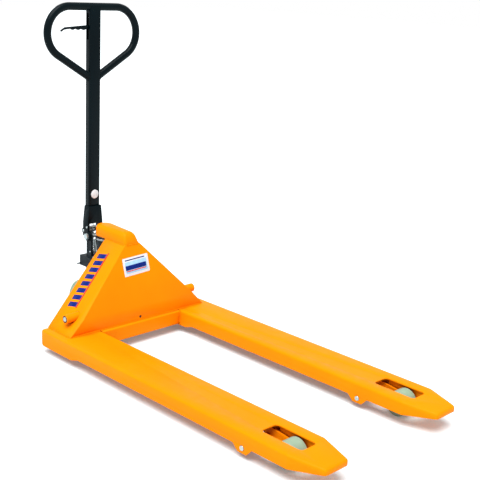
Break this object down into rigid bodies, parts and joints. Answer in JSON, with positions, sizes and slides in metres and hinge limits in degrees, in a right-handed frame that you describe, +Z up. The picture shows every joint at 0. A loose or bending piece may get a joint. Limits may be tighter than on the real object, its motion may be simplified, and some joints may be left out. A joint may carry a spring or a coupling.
{
  "type": "pallet jack",
  "caption": "Hand pallet jack with long forks, a sloping nose frame, a hydraulic pump that steers on wheels, load rollers in the fork tips and an upright tiller with a loop handle.",
  "frame": {"origin": "middle of the bounding box on the floor, under the two forks lowered", "axes": "+X along the forks towards their tips, +Y to the left of someone facing the tips from the handle, +Z up"},
  "size_m": [1.502, 0.689, 1.213],
  "materials": {
    "orange_paint": "glossy amber powder coat",
    "black_paint": "satin blue-black paint",
    "black_casting": "painted casting",
    "zinc_plate": "bright zinc",
    "ground_steel": "ground and oiled",
    "spring_steel": "oiled spring wire",
    "nylon": "pale grey-green nylon"
  },
  "bodies": {
    "frame": {"fork_right": "orange_paint", "fork_left": "orange_paint", "nose_frame": "orange_paint", "cross_beam": "orange_paint", "ram_cap": "orange_paint", "lift_ram": "ground_steel", "rocker_boss_right": "orange_paint", "rocker_boss_left": "orange_paint", "rocker_pin_right": "zinc_plate", "rocker_pin_left": "zinc_plate", "roller_pivot_shaft_right": "zinc_plate", "roller_pivot_shaft_left": "zinc_plate"},
    "carriage": {"bearing_bracket": "black_paint", "thrust_bearing": "ground_steel"},
    "pump": {"pump_housing": "black_casting", "lift_cylinder": "black_casting", "cylinder_gland": "ground_steel", "steering_axle": "ground_steel", "axle_clip_right": "zinc_plate", "axle_clip_left": "zinc_plate", "filler_plug": "zinc_plate", "tiller_pivot_bolt": "zinc_plate", "tiller_pivot_nut": "zinc_plate", "release_pin": "zinc_plate", "plunger_spring": "spring_steel"},
    "plunger": {"plunger": "ground_steel"},
    "release_valve": {"release_valve": "zinc_plate"},
    "release_lever": {"release_lever": "zinc_plate"},
    "steering_wheel_right": {"steering_wheel_right": "nylon", "wheel_bearing_inner_right": "ground_steel", "wheel_bearing_outer_right": "ground_steel"},
    "steering_wheel_left": {"steering_wheel_left": "nylon", "wheel_bearing_inner_left": "ground_steel", "wheel_bearing_outer_left": "ground_steel"},
    "tiller": {"tiller_tube": "black_paint", "tiller_loop": "black_paint", "tiller_yoke": "black_paint", "tube_fixing_pin": "black_paint", "press_roller_pin": "zinc_plate", "chain_guide_pin": "zinc_plate", "lever_pivot_pin": "zinc_plate", "lever_stop_pin": "zinc_plate"},
    "press_roller": {"press_roller": "ground_steel"},
    "finger_lever": {"finger_lever": "black_paint"},
    "pull_rod": {"pull_rod": "zinc_plate", "release_chain": "zinc_plate"},
    "rocker": {"rocker": "black_paint", "rocker_cross_pin": "zinc_plate"},
    "roller_frame_right": {"roller_frame_right": "orange_paint", "roller_axle_right": "zinc_plate", "roller_rod_pin_right": "zinc_plate"},
    "load_roller_right": {"load_roller_right": "nylon"},
    "push_rod_right": {"push_rod_right": "black_paint", "push_rod_pin_right": "zinc_plate"},
    "roller_frame_left": {"roller_frame_left": "orange_paint", "roller_axle_left": "zinc_plate", "roller_rod_pin_left": "zinc_plate"},
    "load_roller_left": {"load_roller_left": "nylon"},
    "push_rod_left": {"push_rod_left": "black_paint", "push_rod_pin_left": "zinc_plate"}
  },
  "joints": [
    {"name": "ram_lift", "type": "slide", "parent": "frame", "child": "carriage", "axis": [0, 0, -1], "range_m": [0, 0.115]},
    {"name": "steering", "type": "hinge", "parent": "carriage", "child": "pump", "pos_m": [-0.63401, 0, 0.2], "axis": [0, 0, 1], "range_deg": [-90, 90]},
    {"name": "plunger_travel", "type": "slide", "parent": "pump", "child": "plunger", "axis": [0, 0, -1], "range_m": [0, 0.0395], "deforming": ["plunger_spring"]},
    {"name": "tiller_tilt", "type": "hinge", "parent": "pump", "child": "tiller", "pos_m": [-0.70401, 0, 0.345], "axis": [0, -1, 0], "range_deg": [0, 80], "stiffness_Nm_per_rad": 40, "springref_deg": -20.05},
    {"name": "press_roller_spin", "type": "hinge", "parent": "tiller", "child": "press_roller", "pos_m": [-0.72699, 0, 0.36428], "axis": [0, 1, 0], "continuous": true},
    {"name": "finger_lever_swing", "type": "hinge", "parent": "tiller", "child": "finger_lever", "pos_m": [-0.71701, 0.012, 1.1255], "axis": [-1, 0, 0], "range_deg": [-8, 12], "stiffness_Nm_per_rad": 1.5},
    {"name": "pull_rod_travel", "type": "slide", "parent": "tiller", "child": "pull_rod", "axis": [0, 0, 1], "range_m": [-0.002, 0.003]},
    {"name": "release_lever_swing", "type": "hinge", "parent": "pump", "child": "release_lever", "pos_m": [-0.69501, 0, 0.285], "axis": [0, 1, 0], "range_deg": [-4, 6]},
    {"name": "release_valve_travel", "type": "slide", "parent": "pump", "child": "release_valve", "axis": [0, 0, -1], "range_m": [-0.001, 0.0015]},
    {"name": "rocker_swing", "type": "hinge", "parent": "frame", "child": "rocker", "pos_m": [-0.46501, 0, 0.138], "axis": [0, -1, 0], "range_deg": [0, 59.16]},
    {"name": "steering_wheel_right_spin", "type": "hinge", "parent": "pump", "child": "steering_wheel_right", "pos_m": [-0.63401, -0.075, 0.1], "axis": [0, 1, 0], "continuous": true},
    {"name": "roller_frame_right_swing", "type": "hinge", "parent": "frame", "child": "roller_frame_right", "pos_m": [0.46699, -0.2625, 0.034], "axis": [0, 1, 0], "range_deg": [0, 72.76]},
    {"name": "load_roller_right_spin", "type": "hinge", "parent": "roller_frame_right", "child": "load_roller_right", "pos_m": [0.58299, -0.2625, 0.04], "axis": [0, 1, 0], "continuous": true},
    {"name": "push_rod_right_level", "type": "hinge", "parent": "roller_frame_right", "child": "push_rod_right", "pos_m": [0.44623, -0.2195, 0.06218], "axis": [0, -1, 0], "range_deg": [0, 72.76]},
    {"name": "steering_wheel_left_spin", "type": "hinge", "parent": "pump", "child": "steering_wheel_left", "pos_m": [-0.63401, 0.075, 0.1], "axis": [0, 1, 0], "continuous": true},
    {"name": "roller_frame_left_swing", "type": "hinge", "parent": "frame", "child": "roller_frame_left", "pos_m": [0.46699, 0.2625, 0.034], "axis": [0, 1, 0], "range_deg": [0, 72.76]},
    {"name": "load_roller_left_spin", "type": "hinge", "parent": "roller_frame_left", "child": "load_roller_left", "pos_m": [0.58299, 0.2625, 0.04], "axis": [0, 1, 0], "continuous": true},
    {"name": "push_rod_left_level", "type": "hinge", "parent": "roller_frame_left", "child": "push_rod_left", "pos_m": [0.44623, 0.2195, 0.06218], "axis": [0, -1, 0], "range_deg": [0, 72.76]}
  ],
  "couplings": [
    {"joint": "plunger_travel", "follows": "tiller_tilt", "m_per_rad": 0.028},
    {"joint": "pull_rod_travel", "follows": "finger_lever_swing", "m_per_rad": 0.012},
    {"joint": "release_lever_swing", "follows": "finger_lever_swing", "ratio": 0.4},
    {"joint": "release_valve_travel", "follows": "finger_lever_swing", "m_per_rad": 0.0056},
    {"joint": "rocker_swing", "follows": "ram_lift", "rad_per_m": 8.9761},
    {"joint": "roller_frame_right_swing", "follows": "ram_lift", "rad_per_m": 11.04},
    {"joint": "push_rod_right_level", "follows": "ram_lift", "rad_per_m": 11.04},
    {"joint": "roller_frame_left_swing", "follows": "ram_lift", "rad_per_m": 11.04},
    {"joint": "push_rod_left_level", "follows": "ram_lift", "rad_per_m": 11.04}
  ]
}
